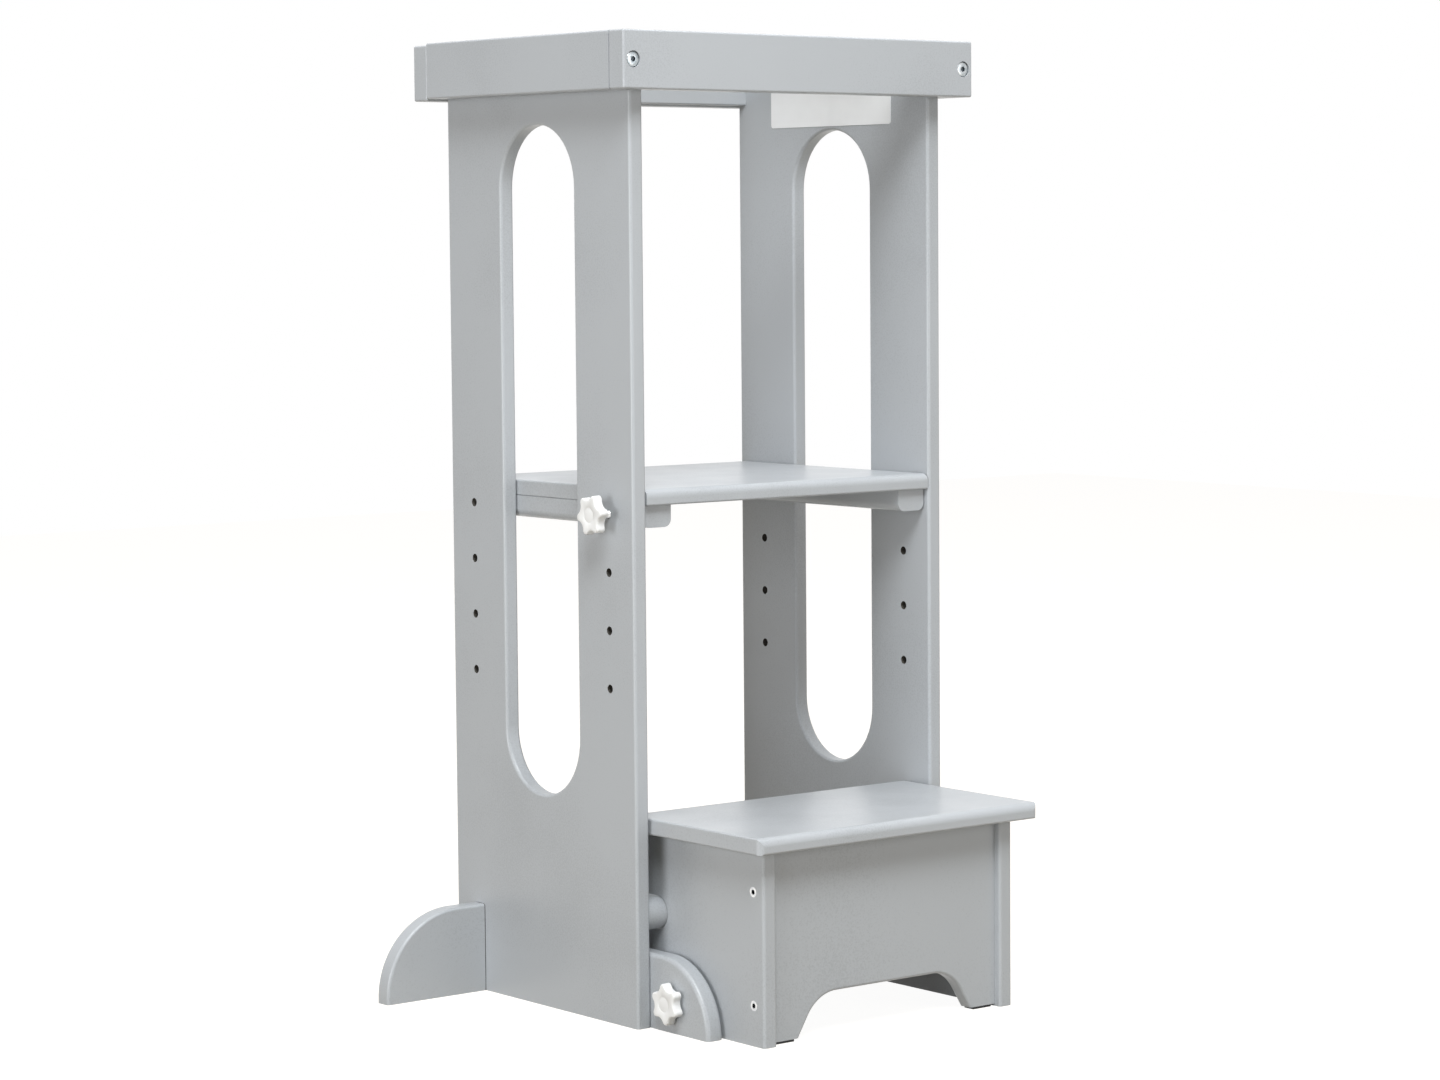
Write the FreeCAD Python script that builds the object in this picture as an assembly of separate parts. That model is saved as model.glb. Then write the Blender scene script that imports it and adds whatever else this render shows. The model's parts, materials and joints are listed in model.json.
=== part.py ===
import FreeCAD, Part
import math
import os

# Helper tower for a small child, with a step stool docked at its front.
# Millimetres.  +X right, -Y front (the stool side), +Z up.
# Lengths along Y are worked out from the middle of the tower's side panels,
# and everything is moved at the end so that the origin lies on the floor
# under the middle of the whole object.

# ---------------------------------------------------------------- tower
overall_height = 970.0       # floor to the top of the rails
inner_width = 362.0          # clear width between the two side panels
panel_depth = 313.0
panel_board = 16.0
edge_round = 3.0             # round-over on the long board edges

rail_height = 56.5
rail_thickness = 24.0
rail_round = 2.0
rear_rail_drop = 2.0         # the rear rail sits this much lower than the others
batten_thickness = 13.0      # inner batten in front of the rear rail

slot_width = 125.0           # long grip opening in each side panel
slot_bottom_z = 215.0
slot_top_margin = 86.0       # from the top of the opening to the top of the panel

hole_radius = 4.3            # rows of holes that set the platform height
hole_inset = 40.5            # hole column to panel edge
hole_lowest_z = 332.0
hole_pitch = 57.15
hole_rows = 4

foot_board = 19.0            # thickness of outriggers and dock brackets
outrigger_reach = 120.0
outrigger_height = 90.0
outrigger_round = 85.0
outrigger_inset = 31.8       # rear face of the outrigger to the panel's rear edge

bracket_height = 74.0        # also the radius of its quarter round
bracket_reach = 91.0         # in front of the panel's front edge
bracket_overlap = 96.0       # behind that edge, along the panel's inner face
bracket_tail_round = 18.0
bracket_edge_round = 4.5

dowel_radius = 16.0          # lower cross dowels
dowel_inset = 17.5           # dowel axis to panel edge
dowel_z = 110.0              # front dowel, which the stool hooks over
rear_dowel_z = 62.0
dowel_socket = 8.0           # depth of the blind sockets in the panels
dowel_fit = 0.1

label_width = 198.0          # blank sticker inside the right panel
label_height = 62.0
label_thickness = 0.4
label_above_slot = 4.0

# ---------------------------------------------------------------- platform
platform_board = 16.0
platform_side_gap = 1.0      # platform edge to side panel
platform_setback = 8.0       # rear edge to the panels' rear edges
nose_round = 8.0             # along the front top edge of platform and tread
rear_round = 3.0             # along their rear top edge
end_round = 1.5              # along their left and right edges
under_round = 2.0
cleat_width = 34.0
cleat_height = 22.0
cleat_setback = 7.0          # cleat ends to the platform's front and rear edges
cleat_round = 8.0
cleat_hole_up = 13.0         # underside of the cleat to the fixing holes
pin_radius = 4.0             # rear locating pins
pin_in_panel = 10.0
pin_in_cleat = 22.0
pin_tip_round = 1.0

# ---------------------------------------------------------------- stool
tread_top_z = 206.0
tread_board = 16.0
tread_depth = 209.0
tread_lap = 39.7             # how far the tread reaches in between the side panels
tread_side_gap = 3.0
tread_corner = 6.5           # in plan
tread_side_overhang = 19.0
tread_front_overhang = 18.8
tread_rear_overhang = 4.2
stool_board = 16.0
front_recess = 7.7           # stool front panel behind the side panels' edges
arch_half_width = 111.5
arch_lean = 26.0             # inward lean of the arch's legs over its height
arch_height = 43.0
arch_round = 42.0
back_rail_height = 58.0
notch_gap = 0.6              # dock notch round the cross dowel
pad_width = 24.0
pad_depth = 14.0
pad_thickness = 2.5
pad_inset = 4.0              # pad to the stool's side board
pad_round = 1.0
tread_pin_radius = 4.0       # hidden pins of the tread and of the back rail
tread_pin_length = 26.0
tread_pin_in_tread = 10.0
tread_pin_pitch = 120.0

# ---------------------------------------------------------------- knobs
knob_radius = 20.5
knob_valley = 15.4           # axis to the bottom of the hollows between the lobes
knob_lobes = 6
lobe_radius = 3.8
knob_thickness = 9.5
knob_edge_round = 1.6
knob_cap_radius = 7.5
knob_cap_recess = 0.3
knob_turns = {"platform": -21.0, "stool": 7.0}    # how far each knob's lobes stand from upright
hub_radius = 9.5
hub_height = 2.0
washer_radius = 8.5
washer_thickness = 1.0
stud_radius = 4.0
stud_in_knob = 9.0
stud_tip = 1.0
running_fit = 0.05           # radial play of a thread or a washer
bore_fit = 0.05              # radial play of a driven pin, insert or nut
insert_radius = 6.0
insert_length = 14.0
insert_lip = 0.4
stud_room = 1.0              # bored past the end of the stud or its insert
platform_stud_grip = 18.0    # stud inside the cleat when the knob is tight
stool_stud_grip = 13.0
platform_knob_backed_out = 11.5   # left front knob, shown partly unscrewed
stool_knob_y = -193.0
stool_knob_z = 30.0

# ---------------------------------------------------------------- fixings
bolt_head_radius = 7.5
bolt_head_height = 2.2
bolt_head_round = 0.6
bolt_recess = 0.4
bolt_shank_radius = 3.0
bolt_length = 60.0
bolt_end_room = 2.0
bolt_head_gap = 0.5
bolt_hole_gap = 0.3
bolt_key = 5.0               # across the flats of the key socket
bolt_key_depth = 1.8
nut_radius = 5.0
nut_length = 15.0
nut_from_end = 30.0
screw_head_radius = 4.0
screw_shank_radius = 2.0
screw_key = 3.0
screw_key_depth = 1.6
side_screw_head_radius = 5.0
side_screw_shank_radius = 3.5
side_screw_key = 4.6
side_screw_key_depth = 4.0
side_screw_length = 46.0
screw_cone = 2.6             # height of the countersunk part of the head
screw_tip_radius = 0.3
screw_gap = 0.05
screw_bite = 0.7             # share of the held board's thickness that a screw enters
rail_screw_inset = 70.0      # side rail screws to panel edges
rail_screw_bite = 18.0       # screw length inside the rail or foot that it holds
outrigger_screw_zs = (24.0, 66.0)
bracket_screw_back = 26.0    # bracket screws behind the panel's front edge
bracket_screw_pitch = 52.0
bracket_screw_z = 40.0
cleat_screw_share = 0.34     # screw pitch to the cleat's length
batten_screw_pitch = 130.0
side_screw_z = 39.4
side_screw_pitch = 110.0
rail_pin_rise = (15.0, 43.0)  # back rail's pins above its lower edge
rail_pin_in_side = 10.0

# ---------------------------------------------------------------- derived places
inner_x = inner_width / 2
outer_x = inner_x + panel_board
rail_x = outer_x + rail_thickness
front_edge = -panel_depth / 2
rear_edge = panel_depth / 2
rail_front = front_edge - rail_thickness
rail_rear = rear_edge + rail_thickness
rail_bottom = overall_height - rail_height
rail_middle = overall_height - rail_height / 2
slot_top_z = overall_height - slot_top_margin
hole_front = front_edge + hole_inset
hole_rear = rear_edge - hole_inset
hole_top_z = hole_lowest_z + hole_pitch * (hole_rows - 1)

cleat_bottom = hole_top_z - cleat_hole_up
cleat_top = cleat_bottom + cleat_height
platform_top = cleat_top + platform_board
platform_x = inner_x - platform_side_gap
platform_rear = rear_edge - platform_setback
cleat_front = front_edge + cleat_setback
cleat_rear = platform_rear - cleat_setback

tread_bottom = tread_top_z - tread_board
tread_x = inner_x - tread_side_gap
tread_rear = front_edge + tread_lap
tread_front = tread_rear - tread_depth
stool_x = tread_x - tread_side_overhang
stool_inner_x = stool_x - stool_board
stool_front = tread_front + tread_front_overhang
stool_rear = tread_rear - tread_rear_overhang
stool_panel_front = stool_front + front_recess
stool_panel_middle = stool_panel_front + stool_board / 2
back_rail_middle = stool_rear - stool_board / 2

dowel_front_y = front_edge + dowel_inset
dowel_rear_y = rear_edge - dowel_inset
outrigger_rear = rear_edge - outrigger_inset
outrigger_middle = outrigger_rear - foot_board / 2
bracket_inner_x = inner_x - foot_board
bracket_rear = front_edge + bracket_overlap

whole_front = min(tread_front, rail_front)
shift_to_origin = FreeCAD.Vector(0, -(whole_front + rail_rear) / 2, 0)

V = FreeCAD.Vector
UP = V(0, 0, 1)
FRONT = V(0, -1, 0)
BACK = V(0, 1, 0)
DOWN = V(0, 0, -1)
SIDES = {"left": -1, "right": 1}
PAST = 1.0                   # how far a cutter runs past the face that it opens


# ---------------------------------------------------------------- helpers
def save(name, solids):
    """Move a node to the object's origin and write it."""
    moved = []
    for solid in solids:
        moved.append(solid.translated(shift_to_origin))
    shape = moved[0] if len(moved) == 1 else Part.makeCompound(moved)
    shape.exportStep("parts/" + name + ".step")
    for solid in moved:
        if not solid.isValid() or len(solid.Solids) != 1:
            raise ValueError(name + " is not one valid solid")


def block(x0, x1, y0, y1, z0, z1):
    low = V(min(x0, x1), min(y0, y1), min(z0, z1))
    return Part.makeBox(abs(x1 - x0), abs(y1 - y0), abs(z1 - z0), low)


def rounded(shape, radius, wanted):
    """Round the edges whose middle passes the test."""
    edges = [edge for edge in shape.Edges if wanted(edge.CenterOfMass, edge)]
    return shape.makeFillet(radius, edges)


def near(a, b):
    return abs(a - b) < 0.01


def rod(radius, x0, x1, y, z):
    """A round bar along X."""
    return Part.makeCylinder(radius, abs(x1 - x0), V(min(x0, x1), y, z), V(1, 0, 0))


def aimed(shape, direction, point):
    """Turn a shape built along +Z to a direction, and set its origin on a point."""
    turned = shape.copy()
    turned.Placement = FreeCAD.Placement(V(*point), FreeCAD.Rotation(UP, direction))
    return turned


def outward(side):
    return V(side, 0, 0)


def hexagon(across_flats, depth):
    """A key socket cutter, from just above z = 0 down to a depth."""
    radius = across_flats / math.sqrt(3)
    corners = []
    for step in range(6):
        angle = math.radians(60 * step)
        corners.append(V(radius * math.cos(angle), radius * math.sin(angle), -depth))
    face = Part.Face(Part.makePolygon(corners + corners[:1]))
    return face.extrude(V(0, 0, 2 * depth))


# ---------------------------------------------------------------- fixings, head up at z = 0
def screw(head_radius, shank_radius, length, key, key_depth, gap):
    """Countersunk screw; with a gap it is the hole that the screw sits in."""
    tip = 2 * shank_radius
    head = Part.makeCone(shank_radius + gap, head_radius + gap, screw_cone, V(0, 0, -screw_cone))
    shank = Part.makeCylinder(shank_radius + gap, length - tip, V(0, 0, tip - length))
    point = Part.makeCone(screw_tip_radius + gap, shank_radius + gap, tip, V(0, 0, -length))
    body = head.fuse([shank, point]).removeSplitter()
    if gap:
        return body.fuse(Part.makeCylinder(head_radius + gap, PAST)).removeSplitter()
    return body.cut(hexagon(key, key_depth))


def wood_screw(length, gap):
    return screw(screw_head_radius, screw_shank_radius, length, screw_key, screw_key_depth, gap)


def rail_bolt():
    head = Part.makeCylinder(bolt_head_radius, bolt_head_height, V(0, 0, -bolt_head_height))
    head = rounded(head, bolt_head_round, lambda c, e: near(c.z, 0))
    shank = Part.makeCylinder(bolt_shank_radius, bolt_length, V(0, 0, -bolt_length))
    return head.fuse(shank).removeSplitter().cut(hexagon(bolt_key, bolt_key_depth))


def rail_bolt_hole():
    seat = Part.makeCylinder(bolt_head_radius + bolt_head_gap, bolt_head_height + bolt_recess + PAST,
                             V(0, 0, -bolt_head_height))
    deep = bolt_length + bolt_end_room
    bore = Part.makeCylinder(bolt_shank_radius + bolt_hole_gap, deep, V(0, 0, -deep))
    return seat.fuse(bore)


def threaded_insert():
    """Flanged threaded insert, its lip at z = 0."""
    body = Part.makeCylinder(insert_radius, insert_length, V(0, 0, -insert_length))
    thread_start = V(0, 0, -insert_length - PAST)
    body = body.cut(Part.makeCylinder(stud_radius + running_fit, insert_length + 2 * PAST, thread_start))
    outer_rim = lambda c, e: near(c.z, -insert_length) and e.Length > 6 * insert_radius
    return rounded(body, insert_lip, outer_rim)


def insert_hole(depth):
    """Seat of an insert, with room behind it for the end of the stud."""
    seat = Part.makeCylinder(insert_radius + bore_fit, insert_length + PAST, V(0, 0, -insert_length))
    room = Part.makeCylinder(stud_radius + bolt_hole_gap, depth, V(0, 0, -depth))
    return seat.fuse(room)


def star_outline():
    """Closed outline of the knob: round lobes and hollows that run into each other."""
    half_step = math.pi / knob_lobes
    lobe_at = knob_radius - lobe_radius
    along = lobe_at * math.cos(half_step)
    hollow_radius = ((lobe_at ** 2 + knob_valley ** 2 - 2 * knob_valley * along - lobe_radius ** 2)
                     / (2 * (lobe_radius - knob_valley + along)))
    hollow_at = knob_valley + hollow_radius
    share = lobe_radius / (lobe_radius + hollow_radius)
    meet = []
    for step in range(2 * knob_lobes + 1):
        lobe_angle = half_step * 2 * ((step + 1) // 2)
        hollow_angle = half_step * (2 * (step // 2) + 1)
        x = (1 - share) * lobe_at * math.cos(lobe_angle) + share * hollow_at * math.cos(hollow_angle)
        y = (1 - share) * lobe_at * math.sin(lobe_angle) + share * hollow_at * math.sin(hollow_angle)
        meet.append(V(x, y, 0))
    arcs = []
    for step in range(2 * knob_lobes):
        angle = half_step * (step + 1)
        reach = knob_valley if step % 2 == 0 else knob_radius
        middle = V(reach * math.cos(angle), reach * math.sin(angle), 0)
        arcs.append(Part.Arc(meet[step], middle, meet[step + 1]).toShape())
    return Part.Wire(arcs)


def star_knob():
    """Lobed knob on its hub; the hub's foot is at z = 0."""
    knob_top = hub_height + knob_thickness
    star = Part.Face(star_outline()).extrude(V(0, 0, knob_thickness)).translated(V(0, 0, hub_height))
    star = star.makeFillet(knob_edge_round, [e for e in star.Edges if near(e.BoundBox.ZMin, knob_top)])
    knob = star.fuse(Part.makeCylinder(hub_radius, hub_height + PAST)).removeSplitter()
    knob = knob.cut(Part.makeCylinder(knob_cap_radius, knob_cap_recess + PAST, V(0, 0, knob_top - knob_cap_recess)))
    return knob.cut(Part.makeCylinder(stud_radius + bore_fit, stud_in_knob + bore_fit))


def stud(reach):
    """Threaded stud, from inside the knob to its tip below the hub's foot."""
    bar = Part.makeCylinder(stud_radius, stud_in_knob + reach, V(0, 0, -reach))
    return bar.makeChamfer(stud_tip / 2, [e for e in bar.Edges if near(e.BoundBox.ZMax, -reach)])


def washer():
    ring = Part.makeCylinder(washer_radius, washer_thickness, V(0, 0, -washer_thickness))
    bore = Part.makeCylinder(stud_radius + running_fit, 3 * washer_thickness, V(0, 0, -2 * washer_thickness))
    return ring.cut(bore)


def save_knob(word, use, seat, board_thickness, grip, backed_out):
    """One screw knob with its captive washer and its stud; its seat is on the board's face."""
    side = SIDES[word]
    reach = washer_thickness + board_thickness + grip
    foot = (seat[0] + side * (washer_thickness + backed_out), seat[1], seat[2])
    lobed = star_knob().rotated(V(0, 0, 0), UP, knob_turns[use])
    name = word + "_" + use
    save(name + "_knob", [aimed(lobed, outward(side), foot)])
    save(name + "_stud", [aimed(stud(reach), outward(side), foot)])
    save(name + "_washer", [aimed(washer(), outward(side), foot)])


# ---------------------------------------------------------------- tower pieces
def panel_screw_places(side):
    """Screws driven from inside the panel: those of the side rail and those of the outrigger."""
    ys = (front_edge + rail_screw_inset, rear_edge - rail_screw_inset)
    rail = [(side * inner_x, y, rail_middle) for y in ys]
    foot = [(side * inner_x, outrigger_middle, z) for z in outrigger_screw_zs]
    return rail, foot


def bracket_screw_places(side):
    ys = (front_edge + bracket_screw_back, front_edge + bracket_screw_back + bracket_screw_pitch)
    return [(side * bracket_inner_x, y, bracket_screw_z) for y in ys]


def panel_screw(gap=0.0):
    return wood_screw(panel_board + rail_screw_bite, gap)


def bracket_screw(gap=0.0):
    return wood_screw(foot_board + panel_board * screw_bite, gap)


def side_panel(side):
    x0, x1 = side * inner_x, side * outer_x
    panel = block(x0, x1, front_edge, rear_edge, 0, overall_height)
    radius = slot_width / 2
    inside, outside = x0 - side * PAST, x1 + side * PAST
    slot = block(inside, outside, -radius, radius, slot_bottom_z + radius, slot_top_z - radius)
    for z in (slot_bottom_z + radius, slot_top_z - radius):
        slot = slot.fuse(rod(radius, inside, outside, 0, z))
    panel = panel.cut(slot.removeSplitter())
    on_face = lambda c, e: near(abs(c.x), inner_x) or near(abs(c.x), outer_x)
    panel = rounded(panel, edge_round, lambda c, e: on_face(c, e) and c.z > edge_round)
    for y in (hole_front, hole_rear):
        for row in range(hole_rows):
            hole_z = hole_lowest_z + row * hole_pitch
            panel = panel.cut(rod(hole_radius, inside, outside, y, hole_z))
    socket_end = x0 + side * (dowel_socket + dowel_fit)
    for y, z in ((dowel_front_y, dowel_z), (dowel_rear_y, rear_dowel_z)):
        panel = panel.cut(rod(dowel_radius + dowel_fit, inside, socket_end, y, z))
    rail_places, foot_places = panel_screw_places(side)
    for place in rail_places + foot_places:
        panel = panel.cut(aimed(panel_screw(screw_gap), outward(-side), place))
    for place in bracket_screw_places(side):
        panel = panel.cut(aimed(bracket_screw(screw_gap), outward(-side), place))
    return panel


def rail_nut_places(side):
    """Barrel nuts across the side rail, near both of its ends."""
    ys = (front_edge + nut_from_end, rear_edge - nut_from_end)
    return [(side * outer_x, y, rail_middle) for y in ys]


def side_rail(side):
    rail = block(side * outer_x, side * rail_x, front_edge, rear_edge, rail_bottom, overall_height)
    rail = rounded(rail, rail_round, lambda c, e: near(abs(c.x), rail_x) and not near(abs(c.y), rear_edge))
    middle_x = side * (outer_x + rail_thickness / 2)
    rail = rail.cut(aimed(rail_bolt_hole(), FRONT, (middle_x, rail_front, rail_middle)))
    rail = rail.cut(aimed(rail_bolt_hole(), BACK, (middle_x, rail_rear, rail_middle)))
    for place in rail_nut_places(side):
        seat_end = place[0] + side * (nut_length + 2 * bore_fit)
        rail = rail.cut(rod(nut_radius + bore_fit, place[0], seat_end, place[1], place[2]))
    for place in panel_screw_places(side)[0]:
        rail = rail.cut(aimed(panel_screw(screw_gap), outward(-side), place))
    return rail


def cross_rail(y0, y1, drop, direction, face_y):
    """Front or rear rail, with its two bolt seats."""
    rail = block(-rail_x, rail_x, y0, y1, rail_bottom - drop, overall_height - drop)
    rail = rounded(rail, rail_round, lambda c, e: True)
    for side in SIDES.values():
        middle_x = side * (outer_x + rail_thickness / 2)
        seat = (middle_x, face_y - direction.y * bolt_recess, rail_middle)
        rail = rail.cut(aimed(rail_bolt_hole(), direction, seat))
    return rail


def rail_bolts(direction, face_y):
    bolts = []
    for side in SIDES.values():
        middle_x = side * (outer_x + rail_thickness / 2)
        seat = (middle_x, face_y - direction.y * bolt_recess, rail_middle)
        bolts.append(aimed(rail_bolt(), direction, seat))
    return bolts


def barrel_nuts():
    nuts = []
    for side in SIDES.values():
        middle_x = side * (outer_x + rail_thickness / 2)
        for place in rail_nut_places(side):
            nut = rod(nut_radius, place[0] + side * bore_fit, place[0] + side * nut_length, place[1], place[2])
            thread = Part.makeCylinder(bolt_shank_radius + running_fit, 4 * nut_radius,
                                       V(middle_x, place[1] - 2 * nut_radius, rail_middle), BACK)
            nuts.append(nut.cut(thread))
    return nuts


def batten_screw_places():
    y = rear_edge - batten_thickness
    return [(step * batten_screw_pitch, y, rail_middle) for step in (-1, 0, 1)]


def batten_screw(gap=0.0):
    return wood_screw(batten_thickness + rail_screw_bite, gap)


def rear_batten():
    front_face = rear_edge - batten_thickness
    batten = block(-inner_x, inner_x, front_face, rear_edge, rail_bottom, overall_height)
    batten = rounded(batten, rail_round, lambda c, e: near(c.x, 0) and c.y < rear_edge - 1)
    for place in batten_screw_places():
        batten = batten.cut(aimed(batten_screw(screw_gap), FRONT, place))
    return batten


def outrigger(side):
    """Foot that widens the stance, square to the side panel."""
    tip = outer_x + outrigger_reach
    low_y = outrigger_rear - foot_board
    foot = block(side * outer_x, side * tip, low_y, outrigger_rear, 0, outrigger_height)
    foot = rounded(foot, outrigger_round, lambda c, e: near(abs(c.x), tip) and near(c.z, outrigger_height))
    top = lambda c: c.z > edge_round and abs(c.x) > outer_x + 1
    foot = rounded(foot, edge_round, lambda c, e: top(c) and not near(c.y, outrigger_middle))
    for place in panel_screw_places(side)[1]:
        foot = foot.cut(aimed(panel_screw(screw_gap), outward(-side), place))
    return foot


def dock_bracket(side):
    """Quarter-round cheek on the panel's inner face, reaching out beside the stool."""
    tip = front_edge - bracket_reach
    x0, x1 = side * bracket_inner_x, side * inner_x
    cheek = block(x0, x1, tip + bracket_height, bracket_rear, 0, bracket_height)
    quarter = rod(bracket_height, x0, x1, tip + bracket_height, 0)
    quarter = quarter.common(block(x0, x1, tip, tip + bracket_height, 0, bracket_height))
    cheek = cheek.fuse(quarter).removeSplitter()
    cheek = rounded(cheek, bracket_tail_round, lambda c, e: near(c.y, bracket_rear) and near(c.z, bracket_height))
    front_part = lambda c: c.z > edge_round and c.y < bracket_rear - 1
    long_edge = lambda c: front_part(c) and not near(abs(c.x), inner_x - foot_board / 2)
    cheek = rounded(cheek, bracket_edge_round, lambda c, e: long_edge(c))
    for place in bracket_screw_places(side):
        cheek = cheek.cut(aimed(bracket_screw(screw_gap), outward(-side), place))
    return cheek.cut(rod(hole_radius, x0 - side * PAST, x1 + side * PAST, stool_knob_y, stool_knob_z))


def cross_dowel(y, z):
    end = inner_x + dowel_socket
    return rod(dowel_radius, -end, end, y, z)


def blank_label():
    low = slot_top_z + label_above_slot
    half = label_width / 2
    return block(inner_x - label_thickness, inner_x, -half, half, low, low + label_height)


# ---------------------------------------------------------------- platform pieces
def nosed_board(half_width, front, rear, bottom, top, corner):
    """Board with a large round along its front top edge; its other edges are only eased."""
    board = block(-half_width, half_width, front, rear, bottom, top)
    board = rounded(board, nose_round, lambda c, e: near(c.y, front) and near(c.z, top))
    board = rounded(board, rear_round, lambda c, e: near(c.y, rear) and near(c.z, top))
    board = rounded(board, under_round, lambda c, e: near(c.x, 0) and near(c.z, bottom))
    ends = block(-half_width, half_width, front, rear, bottom, top)
    at_end = lambda c: near(abs(c.x), half_width) and not near(c.z, (bottom + top) / 2)
    ends = rounded(ends, end_round, lambda c, e: at_end(c))
    board = board.common(ends)
    if corner:
        plan = block(-half_width, half_width, front, rear, bottom, top)
        board = board.common(rounded(plan, corner, lambda c, e: near(c.z, (bottom + top) / 2)))
    return board


def cleat_screw_places(side):
    middle = (cleat_front + cleat_rear) / 2
    x = side * (platform_x - cleat_width / 2)
    pitch = cleat_screw_share * (cleat_rear - cleat_front)
    return [(x, middle + step * pitch, cleat_bottom) for step in (-1, 0, 1)]


def cleat_screw(gap=0.0):
    return wood_screw(cleat_height + platform_board * screw_bite, gap)


def platform():
    top = nosed_board(platform_x, front_edge, platform_rear, cleat_top, platform_top, 0)
    for side in SIDES.values():
        for place in cleat_screw_places(side):
            top = top.cut(aimed(cleat_screw(screw_gap), DOWN, place))
    return top


def cleat(side):
    x_out, x_in = side * platform_x, side * (platform_x - cleat_width)
    bar = block(x_in, x_out, cleat_front, cleat_rear, cleat_bottom, cleat_top)
    lower_long = lambda c: near(c.z, cleat_bottom) and not near(abs(c.x), platform_x - cleat_width / 2)
    bar = rounded(bar, cleat_round, lambda c, e: lower_long(c))
    seat = (x_out, hole_front, hole_top_z)
    bar = bar.cut(aimed(insert_hole(platform_stud_grip + stud_room), outward(side), seat))
    pin_end = x_out - side * (pin_in_cleat + bore_fit)
    bar = bar.cut(rod(pin_radius + bore_fit, x_out + side * PAST, pin_end, hole_rear, hole_top_z))
    for place in cleat_screw_places(side):
        bar = bar.cut(aimed(cleat_screw(screw_gap), DOWN, place))
    return bar


def locating_pin(side):
    x0 = side * (platform_x - pin_in_cleat)
    pin = rod(pin_radius, x0, side * (inner_x + pin_in_panel), hole_rear, hole_top_z)
    at_tip = lambda c, e: near(abs(c.x), inner_x + pin_in_panel) and e.Length > 4 * pin_radius
    return rounded(pin, pin_tip_round, at_tip)


# ---------------------------------------------------------------- stool pieces
def side_screw_places(side):
    """Two screws through each side board into the front panel."""
    zs = (side_screw_z, side_screw_z + side_screw_pitch)
    return [(side * stool_x, stool_panel_middle, z) for z in zs]


def side_screw(gap=0.0):
    return screw(side_screw_head_radius, side_screw_shank_radius, side_screw_length,
                 side_screw_key, side_screw_key_depth, gap)


def tread_pins():
    middle = (stool_front + stool_rear) / 2
    pins = []
    for side in SIDES.values():
        for step in (-0.5, 0.5):
            foot = V(side * (stool_x - stool_board / 2), middle + step * tread_pin_pitch,
                     tread_bottom + tread_pin_in_tread - tread_pin_length)
            pins.append(Part.makeCylinder(tread_pin_radius, tread_pin_length, foot))
    return pins


def back_rail_pins(gap=0.0):
    """Pins that hold the back rail between the side boards; with a gap, the holes that they sit in."""
    pins = []
    for side in SIDES.values():
        x0 = side * (stool_inner_x + rail_pin_in_side + gap)
        x1 = x0 - side * (tread_pin_length + 2 * gap)
        for rise in rail_pin_rise:
            z = tread_bottom - back_rail_height + rise
            pins.append(rod(tread_pin_radius + gap, x0, x1, back_rail_middle, z))
    return pins


def pin_holes():
    """The tread pins, grown by their play."""
    holes = []
    for pin in tread_pins():
        box = pin.BoundBox
        foot = V(box.Center.x, box.Center.y, box.ZMin - bore_fit)
        holes.append(Part.makeCylinder(tread_pin_radius + bore_fit, tread_pin_length + 2 * bore_fit, foot))
    return holes


def tread():
    top = nosed_board(tread_x, tread_front, tread_rear, tread_bottom, tread_top_z, tread_corner)
    for hole in pin_holes():
        top = top.cut(hole)
    return top


def stool_side(side):
    x0, x1 = side * stool_inner_x, side * stool_x
    board = block(x0, x1, stool_front, stool_rear, 0, tread_bottom)
    outer_front = lambda c: near(c.y, stool_front) and not near(c.z, 0) and not near(c.z, tread_bottom)
    board = rounded(board, edge_round, lambda c, e: outer_front(c))
    notch_radius = dowel_radius + notch_gap
    inside, outside = x0 - side * PAST, x1 + side * PAST
    notch = rod(notch_radius, inside, outside, dowel_front_y, dowel_z)
    mouth_end = stool_rear + PAST
    mouth = block(inside, outside, dowel_front_y, mouth_end, dowel_z - notch_radius, dowel_z + notch_radius)
    board = board.cut(notch.fuse(mouth).removeSplitter())
    seat = (side * stool_x, stool_knob_y, stool_knob_z)
    board = board.cut(aimed(insert_hole(insert_length + stud_room), outward(side), seat))
    for place in side_screw_places(side):
        board = board.cut(aimed(side_screw(screw_gap), outward(side), place))
    for hole in pin_holes() + back_rail_pins(bore_fit):
        board = board.cut(hole)
    return board


def stool_front_panel():
    rear = stool_panel_front + stool_board
    board = block(-stool_inner_x, stool_inner_x, stool_panel_front, rear, pad_thickness, tread_bottom)
    top_half_width = arch_half_width - arch_lean
    corners = [(-arch_half_width, 0), (-top_half_width, arch_height), (top_half_width, arch_height),
               (arch_half_width, 0)]
    points = [V(x, stool_panel_front - PAST, z) for x, z in corners]
    arch = Part.Face(Part.makePolygon(points + points[:1])).extrude(V(0, stool_board + 2 * PAST, 0))
    arch = rounded(arch, arch_round, lambda c, e: near(c.z, arch_height) and abs(c.x) > 1)
    board = board.cut(arch)
    round_arch = lambda c: pad_thickness + 1 < c.z < arch_height + 1 and abs(c.x) < arch_half_width
    board = rounded(board, edge_round, lambda c, e: round_arch(c))
    for side in SIDES.values():
        for place in side_screw_places(side):
            board = board.cut(aimed(side_screw(screw_gap), outward(side), place))
    return board


def stool_back_rail():
    board = block(-stool_inner_x, stool_inner_x, stool_rear - stool_board, stool_rear,
                  tread_bottom - back_rail_height, tread_bottom)
    for hole in back_rail_pins(bore_fit):
        board = board.cut(hole)
    return board


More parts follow.
